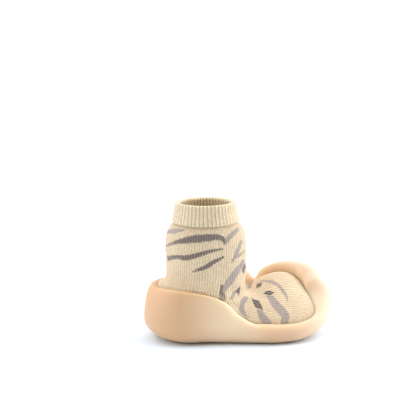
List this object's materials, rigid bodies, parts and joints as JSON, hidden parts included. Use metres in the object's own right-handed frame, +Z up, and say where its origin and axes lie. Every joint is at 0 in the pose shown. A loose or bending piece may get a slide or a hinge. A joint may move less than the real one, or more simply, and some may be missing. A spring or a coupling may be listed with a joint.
{
  "type": "baby sock shoe",
  "caption": "Right-foot baby shoe: a knitted sock with a ribbed cuff in a soft moulded rubber sole that rises round the heel and curls over the toes.",
  "frame": {"origin": "centre of the bounding box's floor face, on the floor under the middle of the sole", "axes": "+X from heel to toe, +Y to the wearer's left, which is the big toe side, +Z up"},
  "size_m": [0.135, 0.0683, 0.095],
  "materials": {
    "knit": "matt cotton knit, cream with grey-mauve stripes",
    "rib": "matt ribbed cotton knit, cream",
    "soft_rubber": "translucent satin rubber, pale peach",
    "insole_cloth": "matt cloth"
  },
  "bodies": {
    "root": {"knit_upper": "knit", "rib_cuff": "rib", "moulded_sole": "soft_rubber", "insole": "insole_cloth"}
  },
  "joints": []
}
